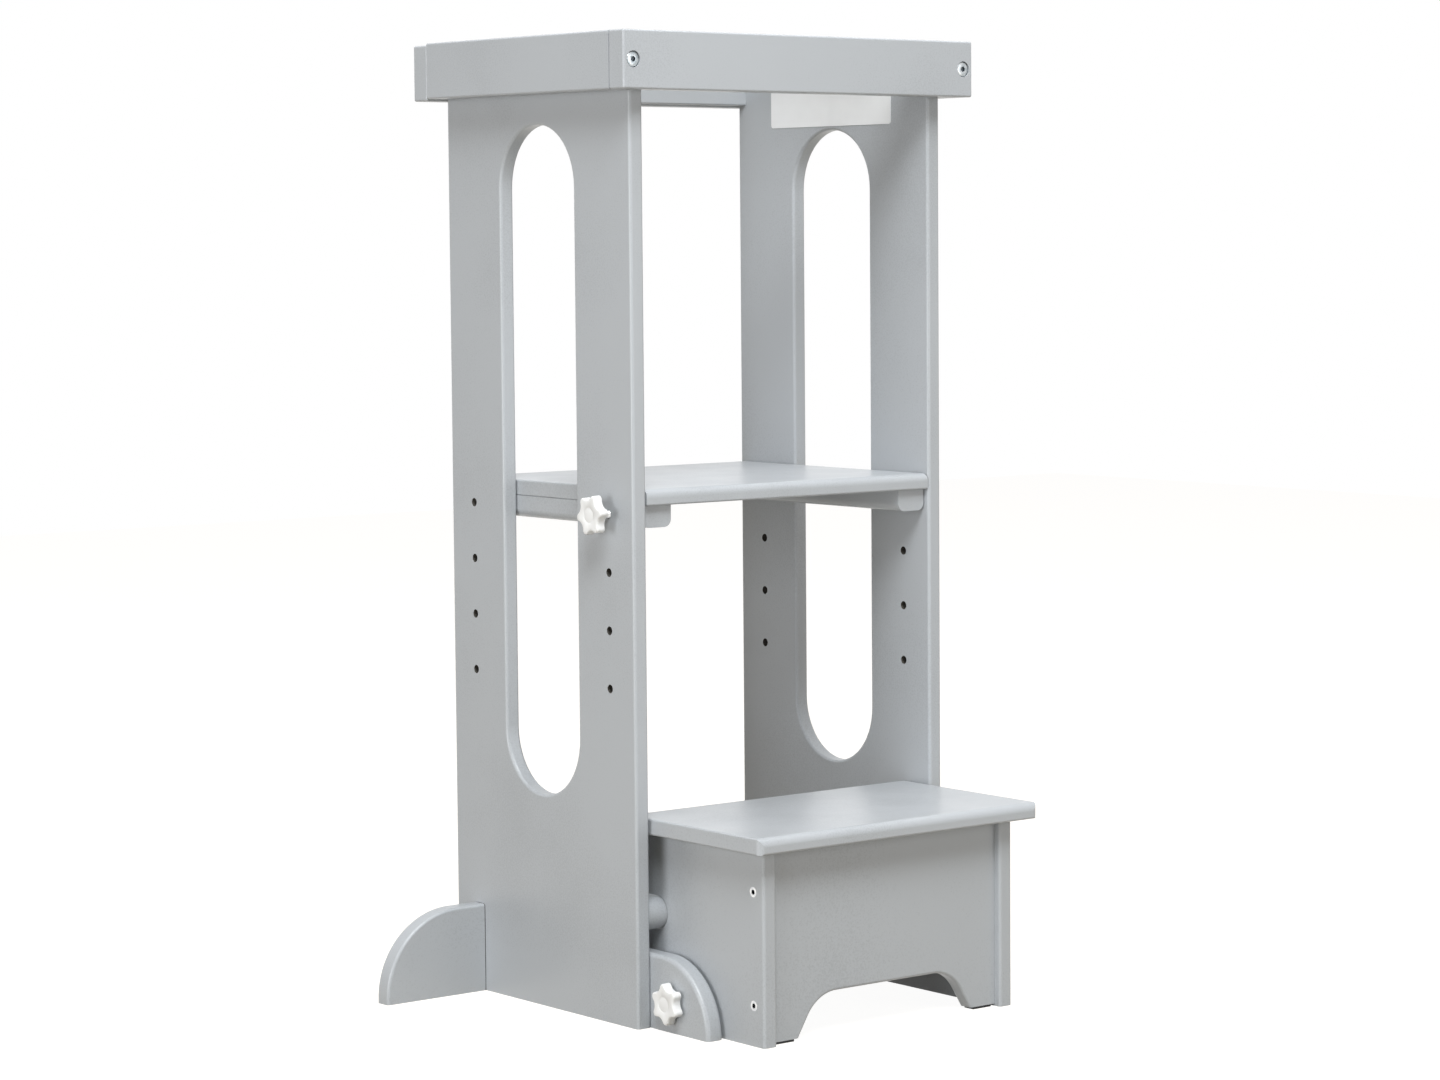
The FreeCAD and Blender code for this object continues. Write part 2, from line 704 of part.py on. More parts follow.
def floor_pads():
    pads = []
    for side in SIDES.values():
        x0 = side * (stool_inner_x - pad_inset)
        y0 = stool_panel_middle - pad_depth / 2
        pad = block(x0, x0 - side * pad_width, y0, y0 + pad_depth, 0, pad_thickness)
        pads.append(rounded(pad, pad_round, lambda c, e: near(c.z, pad_thickness / 2)))
    return pads


# ---------------------------------------------------------------- build
os.makedirs("parts", exist_ok=True)

for word, side in SIDES.items():
    save(word + "_side_panel", [side_panel(side)])
    save(word + "_side_rail", [side_rail(side)])
    save(word + "_outrigger", [outrigger(side)])
    save(word + "_dock_bracket", [dock_bracket(side)])
    save(word + "_cleat", [cleat(side)])
    save("stool_" + word + "_side", [stool_side(side)])
    insert_seat = (side * platform_x, hole_front, hole_top_z)
    save(word + "_platform_insert", [aimed(threaded_insert(), outward(side), insert_seat)])
    stool_seat = (side * stool_x, stool_knob_y, stool_knob_z)
    save(word + "_stool_insert", [aimed(threaded_insert(), outward(side), stool_seat)])
    backed_out = platform_knob_backed_out if word == "left" else 0.0
    grip = platform_stud_grip + platform_side_gap
    save_knob(word, "platform", (side * outer_x, hole_front, hole_top_z), panel_board, grip, backed_out)
    grip = stool_stud_grip + bracket_inner_x - stool_x
    save_knob(word, "stool", (side * inner_x, stool_knob_y, stool_knob_z), foot_board, grip, 0.0)

save("front_rail", [cross_rail(rail_front, front_edge, 0, FRONT, rail_front)])
rear_rail = cross_rail(rear_edge, rail_rear, rear_rail_drop, BACK, rail_rear)
for place in batten_screw_places():
    rear_rail = rear_rail.cut(aimed(batten_screw(screw_gap), FRONT, place))
save("rear_rail", [rear_rail])
save("rear_batten", [rear_batten()])
save("front_rail_bolts", rail_bolts(FRONT, rail_front))
save("rear_rail_bolts", rail_bolts(BACK, rail_rear))
save("rail_barrel_nuts", barrel_nuts())
save("front_cross_dowel", [cross_dowel(dowel_front_y, dowel_z)])
save("rear_cross_dowel", [cross_dowel(dowel_rear_y, rear_dowel_z)])
save("blank_label", [blank_label()])
save("batten_screws", [aimed(batten_screw(), FRONT, place) for place in batten_screw_places()])

rail_screws, foot_screws, cheek_screws, cleat_screws, stool_screws = [], [], [], [], []
for side in SIDES.values():
    rail_places, foot_places = panel_screw_places(side)
    rail_screws += [aimed(panel_screw(), outward(-side), place) for place in rail_places]
    foot_screws += [aimed(panel_screw(), outward(-side), place) for place in foot_places]
    cheek_screws += [aimed(bracket_screw(), outward(-side), place) for place in bracket_screw_places(side)]
    cleat_screws += [aimed(cleat_screw(), DOWN, place) for place in cleat_screw_places(side)]
    stool_screws += [aimed(side_screw(), outward(side), place) for place in side_screw_places(side)]
save("side_rail_screws", rail_screws)
save("outrigger_screws", foot_screws)
save("bracket_screws", cheek_screws)
save("cleat_screws", cleat_screws)
save("stool_side_screws", stool_screws)

save("platform_board", [platform()])
save("rear_locating_pins", [locating_pin(side) for side in SIDES.values()])
save("stool_tread", [tread()])
save("stool_front_panel", [stool_front_panel()])
save("stool_back_rail", [stool_back_rail()])
save("stool_floor_pads", floor_pads())
save("stool_tread_pins", tread_pins())
save("stool_back_rail_pins", back_rail_pins())
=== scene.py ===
import json
import math

import bmesh
import bpy
from mathutils import Matrix, Vector


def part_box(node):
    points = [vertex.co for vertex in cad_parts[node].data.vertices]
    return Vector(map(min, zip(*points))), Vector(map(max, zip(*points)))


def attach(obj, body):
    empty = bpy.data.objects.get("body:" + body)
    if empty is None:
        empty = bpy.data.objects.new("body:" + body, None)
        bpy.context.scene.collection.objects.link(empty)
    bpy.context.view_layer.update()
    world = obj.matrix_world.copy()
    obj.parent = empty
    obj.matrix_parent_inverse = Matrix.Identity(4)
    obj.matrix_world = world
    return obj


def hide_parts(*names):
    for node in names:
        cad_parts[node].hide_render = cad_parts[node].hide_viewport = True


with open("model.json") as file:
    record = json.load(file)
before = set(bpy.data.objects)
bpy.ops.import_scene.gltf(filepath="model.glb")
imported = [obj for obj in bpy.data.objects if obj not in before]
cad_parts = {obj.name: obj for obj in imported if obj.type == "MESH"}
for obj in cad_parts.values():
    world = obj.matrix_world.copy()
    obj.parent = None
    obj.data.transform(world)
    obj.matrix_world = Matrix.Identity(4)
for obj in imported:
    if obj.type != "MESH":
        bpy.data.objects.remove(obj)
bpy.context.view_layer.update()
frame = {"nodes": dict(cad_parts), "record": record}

# A painted helper tower with a docked step stool.  Metres, the same frame as
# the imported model: +X right, -Y front (the stool side), +Z up.
MM = 0.001

# ---------------------------------------------------------------- sizes
KNOB_RADIUS = 20.5 * MM
KNOB_HOLLOW = 15.4 * MM          # axis to the bottom of the hollows
KNOB_LOBES = 6
LOBE_RADIUS = 3.8 * MM
LOBE_STEPS = 20                  # corners round each lobe
KNOB_EDGE_ROUND = 1.7 * MM
KNOB_EDGE_STEPS = 4
KNOB_TURN = {"platform": -21.0, "stool": 7.0}    # degrees that the lobes stand from upright
# The knob's profile in mm, drawn up from its foot.
HUB = ((9.0, 0.0), (9.5, 0.4), (9.5, 2.0))       # radius, height
KNOB_SKIRT = ((0.955, 2.0), (0.985, 2.25), (1.0, 2.8))    # share of the outline, height
KNOB_TAPER = 0.985               # share of the outline where the edge round starts
KNOB_FLAT = 0.80                 # share of the outline where the top is flat
KNOB_CAP = ((7.8, 0.0), (7.5, -0.2), (7.5, -0.3), (6.9, -0.15))    # radius, height over the top

THREAD_RIDGE = ((4.0, 0.0), (4.0, 0.14), (3.4, 0.54), (3.4, 0.72), (4.0, 1.0))    # radius in mm, share of a turn
THREAD_PITCH = 1.25 * MM
THREAD_STEPS = 20                # steps in each turn of the thread
STUD_TIP = 1.0 * MM
STUD_TIP_SHARE = 0.75            # of the radius, at the very end

# The rail bolts' profiles, as radius and height in mm.
BOLT_HEAD = ((7.5, -2.2), (7.5, -1.2), (7.1, -0.7), (6.2, -0.3), (5.0, -0.08), (3.8, 0.0))
BOLT_SHANK = ((2.6, -60.0), (3.0, -59.5), (3.0, -2.2))
BOLT_KEY = 5.0 * MM              # across the flats
BOLT_KEY_LIP = 0.05 * MM
BOLT_KEY_DEPTH = 1.8 * MM
BOLT_TURN = 12.0                 # degrees

BORE_RADIUS = 4.35 * MM          # the panels' height holes, with a hair to spare
ROW_PITCH = 57.15 * MM
PAINT_SKIN = 0.05 * MM
SEAM_WIDTH = 0.9 * MM            # band of painted shade beside a foot's joint
KEY_START = 0.25 * MM            # under a screw's face, where the painted shade in its key socket starts
BOLT_KEY_START = 0.8 * MM        # the same under a bolt's domed face

LABEL_CORNER = 3.0 * MM
LABEL_CORNER_STEPS = 6
ROUND_STEPS = 48                 # corners round a turned piece
WELD = 1e-6                      # corners closer than this are one corner

# ---------------------------------------------------------------- colours
PAINT = (0.441, 0.462, 0.484)
PLASTIC = (0.93, 0.935, 0.93)
BRIGHT_ZINC = (0.60, 0.62, 0.65), (0.80, 0.81, 0.81)
DULL_ZINC = (0.34, 0.38, 0.40), (0.60, 0.62, 0.63)
RUBBER = (0.012, 0.012, 0.013), (0.03, 0.03, 0.03)
FILM = (0.92, 0.93, 0.94), (0.97, 0.98, 0.99)
BEECH = (0.52, 0.36, 0.21), (0.70, 0.53, 0.35)
# painted shade inside the key sockets of screws and bolts
SOCKET_PAINTED_SHADE = (0.07, 0.08, 0.09)
# painted shade on the walls of the panels' height holes
BORE_PAINTED_SHADE = (0.10, 0.094, 0.084)
# painted shade along the joint between a foot and its side panel
JOINT_PAINTED_SHADE = (0.10, 0.10, 0.105)

# ---------------------------------------------------------------- stage
FLOOR_HALF = 6.0
FLOOR_COLOUR = (0.27, 0.24, 0.19)
FLOOR_GLOW = 0.95                # lifts the floor to white for the camera
WORLD_LIGHT = 0.12
WORLD_COLOUR = (1.0, 0.84, 0.62)
LAMPS = (
    # name, place, aim, width, watts, colour
    ("key_softbox", (-1.6, -2.4, 3.9), (0, 0, 0.5), 1.8, 166.0, (0.95, 0.98, 1.0)),
    ("side_window", (-3.4, -0.7, 0.6), (0, 0, 0.3), 1.6, 56.0, (0.95, 0.97, 1.0)),
    ("front_fill", (0.9, -3.4, 0.9), (0, 0, 0.3), 1.6, 26.0, (0.95, 0.97, 1.0)),
    ("top_softbox", (0.2, -0.2, 3.4), (0, 0, 0.4), 2.2, 60.0, (0.97, 0.98, 1.0)),
)
CAMERA_PLACE = (-2.3815, -3.0440, 0.7743)
CAMERA_HEADING, CAMERA_DIP, CAMERA_ROLL = 39.845, 4.59, -0.29    # degrees
CAMERA_LENS, CAMERA_SENSOR = 95.2, 36.0          # mm
CAMERA_SHIFT = -0.0973                           # share of the width
CAMERA_REACH = 100.0


# ---------------------------------------------------------------- finishes
def blank_finish(name):
    """A new material: its nodes, its links and its shader."""
    finish = bpy.data.materials.new(name)
    finish.use_nodes = True
    nodes = finish.node_tree.nodes
    return finish, nodes, finish.node_tree.links, nodes["Principled BSDF"]


def sums(nodes, links, operation, *terms):
    """One sum done on sockets and plain numbers."""
    step = nodes.new("ShaderNodeMath")
    step.operation = operation
    for entry, term in zip(step.inputs, terms):
        if isinstance(term, bpy.types.NodeSocket):
            links.new(term, entry)
        else:
            entry.default_value = term
    return step.outputs["Value"]


def own_place(nodes, links):
    """The place on the piece, as its three lengths."""
    place = nodes.new("ShaderNodeTexCoord")
    along = nodes.new("ShaderNodeSeparateXYZ")
    links.new(place.outputs["Object"], along.inputs["Vector"])
    return along.outputs


def speckle(nodes, links, scale, detail=3.0):
    """Noise on the piece's own place; returns its value socket."""
    place = nodes.new("ShaderNodeTexCoord")
    noise = nodes.new("ShaderNodeTexNoise")
    noise.inputs["Scale"].default_value = scale
    noise.inputs["Detail"].default_value = detail
    links.new(place.outputs["Object"], noise.inputs["Vector"])
    return noise.outputs["Fac"]


def tone(nodes, links, source, dark, light, low=0.35, high=0.65):
    """Runs between two colours as the noise goes from low to high."""
    ramp = nodes.new("ShaderNodeValToRGB")
    ramp.color_ramp.elements[0].position = low
    ramp.color_ramp.elements[0].color = (*dark, 1)
    ramp.color_ramp.elements[1].position = high
    ramp.color_ramp.elements[1].color = (*light, 1)
    links.new(source, ramp.inputs["Fac"])
    return ramp.outputs["Color"]


def spread(nodes, links, source, low, high):
    """Turns noise into a value that stays between two limits."""
    band = nodes.new("ShaderNodeMapRange")
    band.inputs["From Min"].default_value = 0.3
    band.inputs["From Max"].default_value = 0.7
    band.inputs["To Min"].default_value = low
    band.inputs["To Max"].default_value = high
    links.new(source, band.inputs["Value"])
    return band.outputs["Result"]


def relief(nodes, links, shader, source, depth, strength=1.0, under=None):
    """Small raised relief; a second one lies on top of the first."""
    bump = nodes.new("ShaderNodeBump")
    bump.inputs["Distance"].default_value = depth
    bump.inputs["Strength"].default_value = strength
    links.new(source, bump.inputs["Height"])
    if under is not None:
        links.new(under, bump.inputs["Normal"])
    links.new(bump.outputs["Normal"], shader.inputs["Normal"])
    return bump.outputs["Normal"]


def shade_of(colour, factor):
    """A colour made darker or lighter, never past full."""
    return tuple(min(channel * factor, 1.0) for channel in colour)


def grey_paint(name="grey_paint"):
    """Sprayed satin paint: soft orange peel over faintly uneven board."""
    finish, nodes, links, shader = blank_finish(name)
    mottle = sums(nodes, links, "ADD", speckle(nodes, links, 5.0, 4.0), speckle(nodes, links, 620.0, 2.0))
    colours = shade_of(PAINT, 0.94), shade_of(PAINT, 1.06)
    links.new(tone(nodes, links, mottle, *colours, 0.75, 1.25), shader.inputs["Base Color"])
    links.new(spread(nodes, links, speckle(nodes, links, 22.0), 0.28, 0.36), shader.inputs["Roughness"])
    board = relief(nodes, links, shader, speckle(nodes, links, 45.0, 2.0), 0.25 * MM, 0.35)
    relief(nodes, links, shader, speckle(nodes, links, 750.0, 2.0), 0.05 * MM, 0.5, under=board)
    return finish


def white_plastic():
    """Moulded plastic with a faint grain."""
    finish, nodes, links, shader = blank_finish("white_plastic")
    links.new(tone(nodes, links, speckle(nodes, links, 60.0), shade_of(PLASTIC, 0.97), PLASTIC),
              shader.inputs["Base Color"])
    links.new(spread(nodes, links, speckle(nodes, links, 180.0), 0.30, 0.40), shader.inputs["Roughness"])
    relief(nodes, links, shader, speckle(nodes, links, 1600.0, 2.0), 0.03 * MM, 0.5)
    return finish


def zinc_plate(name="zinc_plate", tones=BRIGHT_ZINC):
    """Zinc on steel, a little cloudy."""
    finish, nodes, links, shader = blank_finish(name)
    clouds = speckle(nodes, links, 240.0, 4.0)
    links.new(tone(nodes, links, clouds, *tones), shader.inputs["Base Color"])
    shader.inputs["Metallic"].default_value = 1.0
    links.new(spread(nodes, links, speckle(nodes, links, 500.0), 0.22, 0.38), shader.inputs["Roughness"])
    relief(nodes, links, shader, speckle(nodes, links, 2600.0, 2.0), 0.02 * MM, 0.5)
    return finish


def black_rubber():
    """Matt black rubber of the floor pads."""
    finish, nodes, links, shader = blank_finish("black_rubber")
    links.new(tone(nodes, links, speckle(nodes, links, 300.0), *RUBBER), shader.inputs["Base Color"])
    links.new(spread(nodes, links, speckle(nodes, links, 150.0), 0.65, 0.85), shader.inputs["Roughness"])
    relief(nodes, links, shader, speckle(nodes, links, 1800.0, 2.0), 0.06 * MM, 0.7)
    return finish


def white_film():
    """Blank printed-film sticker, slightly wavy."""
    finish, nodes, links, shader = blank_finish("white_film")
    links.new(tone(nodes, links, speckle(nodes, links, 30.0), *FILM), shader.inputs["Base Color"])
    links.new(spread(nodes, links, speckle(nodes, links, 60.0), 0.28, 0.40), shader.inputs["Roughness"])
    relief(nodes, links, shader, speckle(nodes, links, 70.0, 2.0), 0.15 * MM, 0.4)
    return finish


def bare_beech():
    """Bare wood of the hidden pins: grain along the pin."""
    finish, nodes, links, shader = blank_finish("bare_beech")
    place = nodes.new("ShaderNodeTexCoord")
    grain = nodes.new("ShaderNodeTexWave")
    grain.inputs["Scale"].default_value = 260.0
    grain.inputs["Distortion"].default_value = 5.0
    grain.inputs["Detail"].default_value = 3.0
    links.new(place.outputs["Object"], grain.inputs["Vector"])
    links.new(tone(nodes, links, grain.outputs["Fac"], *BEECH, 0.2, 0.9), shader.inputs["Base Color"])
    links.new(spread(nodes, links, speckle(nodes, links, 300.0), 0.55, 0.7), shader.inputs["Roughness"])
    relief(nodes, links, shader, grain.outputs["Fac"], 0.05 * MM, 0.5)
    return finish


FINISHES = {
    "grey_paint": grey_paint(),
    "white_plastic": white_plastic(),
    "zinc_steel": zinc_plate(),
    "black_rubber": black_rubber(),
    "white_film": white_film(),
    "bare_wood": bare_beech(),
}


def darken(nodes, links, share, dark):
    """Lets the finish turn to a dark colour, painted shade, as the share goes from 0 to 1."""
    shader = nodes["Principled BSDF"]
    mix = nodes.new("ShaderNodeMix")
    mix.data_type = "RGBA"
    colours = [socket for socket in mix.inputs if socket.type == "RGBA"]
    links.new(share, mix.inputs["Factor"])
    links.new(shader.inputs["Base Color"].links[0].from_socket, colours[0])
    colours[1].default_value = (*dark, 1)
    mixed = [socket for socket in mix.outputs if socket.type == "RGBA"][0]
    links.new(mixed, shader.inputs["Base Color"])


def keyed_zinc(node, axis, mirrored, deeper, face, start, tones):
    """Zinc for screws and bolts, with painted shade inside their key sockets."""
    finish = zinc_plate("zinc_" + node, tones)
    nodes, links = finish.node_tree.nodes, finish.node_tree.links
    reach = own_place(nodes, links)[axis]
    if mirrored:
        reach = sums(nodes, links, "ABSOLUTE", reach)
    depth = nodes.new("ShaderNodeMapRange")
    depth.inputs["From Min"].default_value = face + deeper * start
    depth.inputs["From Max"].default_value = face + deeper * 2 * start
    links.new(reach, depth.inputs["Value"])
    # painted shade: the socket turns darker with depth
    darken(nodes, links, depth.outputs["Result"], SOCKET_PAINTED_SHADE)
    return finish


def keyed_fasteners():
    """Fasteners whose heads show: node, axis, same on both sides, way down, face, where the painted shade starts,
    tones.
    """
    panel_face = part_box("right_side_panel")[0].x
    return (
        ("stool_side_screws", 0, True, -1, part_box("stool_side_screws")[1].x, KEY_START, BRIGHT_ZINC),
        ("bracket_screws", 0, True, 1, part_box("right_dock_bracket")[0].x, KEY_START, BRIGHT_ZINC),
        ("side_rail_screws", 0, True, 1, panel_face, KEY_START, BRIGHT_ZINC),
        ("outrigger_screws", 0, True, 1, panel_face, KEY_START, BRIGHT_ZINC),
        ("batten_screws", 1, False, 1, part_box("batten_screws")[0].y, KEY_START, BRIGHT_ZINC),
        ("cleat_screws", 2, False, 1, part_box("cleat_screws")[0].z, KEY_START, BRIGHT_ZINC),
        ("front_rail_bolts", 1, False, 1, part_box("front_rail_bolts")[0].y, BOLT_KEY_START, DULL_ZINC),
        ("rear_rail_bolts", 1, False, -1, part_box("rear_rail_bolts")[1].y, BOLT_KEY_START, DULL_ZINC),
    )


def matt_inside(nodes, links, share):
    """Takes the gloss off where the share is 1."""
    gloss = sums(nodes, links, "MULTIPLY_ADD", share, -0.5, 0.5)
    links.new(gloss, nodes["Principled BSDF"].inputs["Specular IOR Level"])


def centre_of(node):
    """Middle of a CAD node's box."""
    low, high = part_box(node)
    return (low + high) / 2


def bored_paint(word):
    """Paint of a side panel: the walls of its height holes carry painted shade."""
    panel = word + "_side_panel"
    finish = grey_paint("grey_paint_" + panel)
    nodes, links = finish.node_tree.nodes, finish.node_tree.links
    across, along, up = own_place(nodes, links)
    one_face, other_face = (abs(corner.x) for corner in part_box(panel))
    stud = centre_of(word + "_platform_stud")
    pin = centre_of("rear_locating_pins")
    from_middle = sums(nodes, links, "ABSOLUTE", sums(nodes, links, "SUBTRACT", along, (stud.y + pin.y) / 2))
    from_column = sums(nodes, links, "SUBTRACT", from_middle, (pin.y - stud.y) / 2)
    from_row = sums(nodes, links, "PINGPONG", sums(nodes, links, "SUBTRACT", up, stud.z), ROW_PITCH / 2)
    squares = [sums(nodes, links, "MULTIPLY", length, length) for length in (from_column, from_row)]
    near = sums(nodes, links, "LESS_THAN", sums(nodes, links, "ADD", *squares), BORE_RADIUS ** 2)
    depth = abs(other_face - one_face) / 2 - PAINT_SKIN
    across = sums(nodes, links, "ABSOLUTE", across)
    within = sums(nodes, links, "COMPARE", across, (one_face + other_face) / 2, depth)
    share = sums(nodes, links, "MULTIPLY", near, within)
    # painted shade on the bore walls
    darken(nodes, links, share, BORE_PAINTED_SHADE)
    matt_inside(nodes, links, share)
    return finish


def seamed_paint(word):
    """Paint of an outrigger, with a line of painted shade along its joint against the side panel."""
    finish = grey_paint("grey_paint_%s_outrigger" % word)
    nodes, links = finish.node_tree.nodes, finish.node_tree.links
    across = sums(nodes, links, "ABSOLUTE", own_place(nodes, links)[0])
    joint = max(abs(corner.x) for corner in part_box(word + "_side_panel"))
    share = sums(nodes, links, "LESS_THAN", across, joint + SEAM_WIDTH)
    # painted shade in a thin band along the joint
    darken(nodes, links, share, JOINT_PAINTED_SHADE)
    matt_inside(nodes, links, share)
    return finish


def own_finishes():
    """The nodes that have a finish of their own, made from their place."""
    made = {entry[0]: keyed_zinc(*entry) for entry in keyed_fasteners()}
    for word in ("left", "right"):
        made[word + "_side_panel"] = bored_paint(word)
        made[word + "_outrigger"] = seamed_paint(word)
    return made


OWN_FINISHES = own_finishes()


def dress_cad_pieces():
    """Gives every carried-over piece the finish of its slot."""
    for part in frame["record"]["subparts"]:
        piece = frame["nodes"][part["node"]]
        for place in piece.material_slots:
            place.material = OWN_FINISHES.get(part["node"], FINISHES[part["material_slot"]])


# ---------------------------------------------------------------- making pieces
def finish_piece(name, form, slot_name, body, replaced, soft_angle=35.0):
    """Turns a bmesh into a piece that rides on its body and stands for its CAD nodes."""
    bmesh.ops.remove_doubles(form, verts=form.verts, dist=WELD)
    bmesh.ops.recalc_face_normals(form, faces=form.faces)
    mesh = bpy.data.meshes.new(name)
    form.to_mesh(mesh)
    form.free()
    mesh.shade_smooth()
    mesh.set_sharp_from_angle(angle=math.radians(soft_angle))
    mesh.materials.append(OWN_FINISHES.get(replaced[0], FINISHES[slot_name]))
    piece = bpy.data.objects.new(name, mesh)
    bpy.context.scene.collection.objects.link(piece)
    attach(piece, body)
    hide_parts(*replaced)
    return piece


def shape_ring(ring, radius_at, height):
    """Moves the corners of a ring to a radius, which may change round the ring, at a height."""
    for corner in ring:
        angle = math.atan2(corner.co.y, corner.co.x)
        radius = radius_at(angle) if callable(radius_at) else radius_at
        corner.co = (radius * math.cos(angle), radius * math.sin(angle), height)


def turned(rings, steps=ROUND_STEPS):
    """A closed piece round +Z, drawn up ring by ring; each ring is (radius or outline, height)."""
    form = bmesh.new()
    corners = bmesh.ops.create_circle(form, segments=steps, radius=1.0)["verts"]
    shape_ring(corners, *rings[0])
    bottom = list(form.edges)
    edges = bottom
    for ring in rings[1:]:
        made = bmesh.ops.extrude_edge_only(form, edges=edges)["geom"]
        shape_ring([part for part in made if isinstance(part, bmesh.types.BMVert)], *ring)
        edges = [part for part in made if isinstance(part, bmesh.types.BMEdge)]
    for loop in (bottom, edges):
        bmesh.ops.edgeloop_fill(form, edges=loop)
    return form


def place_form(form, direction, point, turn=0.0):
    """Turns a form built along +Z to a direction, and sets it on a point."""
    aim = Vector((0, 0, 1)).rotation_difference(Vector(direction)).to_matrix().to_4x4()
    where = Matrix.Translation(point) @ aim @ Matrix.Rotation(math.radians(turn), 4, "Z")
    bmesh.ops.transform(form, matrix=where, verts=form.verts)


def star():
    """Outline of the knob: round lobes that run into round hollows."""
    half_step = math.pi / KNOB_LOBES
    lobe_at = KNOB_RADIUS - LOBE_RADIUS
    along = lobe_at * math.cos(half_step)
    hollow = ((lobe_at ** 2 + KNOB_HOLLOW ** 2 - 2 * KNOB_HOLLOW * along - LOBE_RADIUS ** 2)
              / (2 * (LOBE_RADIUS - KNOB_HOLLOW + along)))
    hollow_at = KNOB_HOLLOW + hollow
    share = LOBE_RADIUS / (LOBE_RADIUS + hollow)
    meet_x = (1 - share) * lobe_at + share * hollow_at * math.cos(half_step)
    meet_y = share * hollow_at * math.sin(half_step)
    meet_angle = math.atan2(meet_y, meet_x)

    def radius_at(angle):
        off_lobe = abs(math.remainder(angle, 2 * half_step))
        if off_lobe < meet_angle:
            across = lobe_at * math.sin(off_lobe)
            return lobe_at * math.cos(off_lobe) + math.sqrt(LOBE_RADIUS ** 2 - across ** 2)
        off_hollow = half_step - off_lobe
        across = hollow_at * math.sin(off_hollow)
        return hollow_at * math.cos(off_hollow) - math.sqrt(hollow ** 2 - across ** 2)
    return radius_at


def hexagon(across_flats):
    """Outline of a key socket."""
    def radius_at(angle):
        return across_flats / 2 / math.cos(math.remainder(angle - math.radians(30), math.radians(60)))
    return radius_at


def scaled(outline, factor):
    """The same outline, larger or smaller."""
    return lambda angle: outline(angle) * factor


# ---------------------------------------------------------------- knobs and studs
def foot_of(node, side):
    """Middle of the end that a turned node stands on, seen along X, and how far it reaches from there."""
    low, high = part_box(node)
    foot = centre_of(node)
    foot.x = low.x if side > 0 else high.x
    return foot, high.x - low.x


def star_knob(word, use, side):
    """A star knob: hub, lobed rim with rounded edges, and a sunk cap in the middle."""
    name = word + "_" + use
    foot, thickness = foot_of(name + "_knob", side)
    outline = star()
    rim_top = thickness - KNOB_EDGE_ROUND
    rings = [(radius * MM, height * MM) for radius, height in HUB]
    rings += [(scaled(outline, share), height * MM) for share, height in KNOB_SKIRT]
    rings.append((scaled(outline, KNOB_TAPER), rim_top))
    for step in range(1, KNOB_EDGE_STEPS + 1):
        turn = math.pi / 2 * step / KNOB_EDGE_STEPS
        inward = KNOB_EDGE_ROUND * (1 - math.cos(turn)) / KNOB_RADIUS
        rings.append((scaled(outline, KNOB_TAPER - inward), rim_top + KNOB_EDGE_ROUND * math.sin(turn)))
    rings.append((scaled(outline, KNOB_FLAT), thickness))
    rings += [(radius * MM, thickness + height * MM) for radius, height in KNOB_CAP]
    form = turned(rings, steps=KNOB_LOBES * LOBE_STEPS)
    place_form(form, (side, 0, 0), foot, KNOB_TURN[use])
    finish_piece(name + "_star_knob", form, "white_plastic", name + "_knob_turn", [name + "_knob"], 40.0)


def threaded_stud(word, use, side):
    """The knob's screw with its real thread, cut square inside the knob and pointed at the tip."""
    name = word + "_" + use
    tip_place, length = foot_of(name + "_stud", side)
    turns = math.ceil(length / THREAD_PITCH) + 2
    form = bmesh.new()
    corners = [form.verts.new((radius * MM, 0, (share - 1) * THREAD_PITCH)) for radius, share in THREAD_RIDGE]
    chain = [form.edges.new(pair) for pair in zip(corners, corners[1:])]
    bmesh.ops.spin(form, geom=corners + chain, cent=(0, 0, 0), axis=(0, 0, 1),
                   dvec=(0, 0, THREAD_PITCH / THREAD_STEPS), angle=math.tau * turns,
                   steps=THREAD_STEPS * turns, use_merge=False)
    bmesh.ops.remove_doubles(form, verts=form.verts, dist=WELD)
    for height, up in ((STUD_TIP, -1), (length, 1)):
        everything = form.verts[:] + form.edges[:] + form.faces[:]
        bmesh.ops.bisect_plane(form, geom=everything, dist=1e-7, plane_co=(0, 0, height),
                               plane_no=(0, 0, up), clear_outer=True)
    open_edges = [edge for edge in form.edges if edge.is_boundary]
    tip = [edge for edge in open_edges if max(corner.co.z for corner in edge.verts) < STUD_TIP + WELD]
    end = [edge for edge in open_edges if min(corner.co.z for corner in edge.verts) > length - WELD]
    made = bmesh.ops.extrude_edge_only(form, edges=tip)["geom"]
    for corner in [part for part in made if isinstance(part, bmesh.types.BMVert)]:
        corner.co = (corner.co.x * STUD_TIP_SHARE, corner.co.y * STUD_TIP_SHARE, 0.0)
    tip = [part for part in made if isinstance(part, bmesh.types.BMEdge)]
    for loop in (tip, end):
        bmesh.ops.holes_fill(form, edges=loop)
    place_form(form, (side, 0, 0), tip_place)
    finish_piece(name + "_threaded_stud", form, "zinc_steel", name + "_knob_turn", [name + "_stud"], 50.0)


def all_knobs():
    """The four knobs, each with its stud."""
    for word, side in (("left", -1), ("right", 1)):
        for use in ("platform", "stool"):
            star_knob(word, use, side)
            threaded_stud(word, use, side)


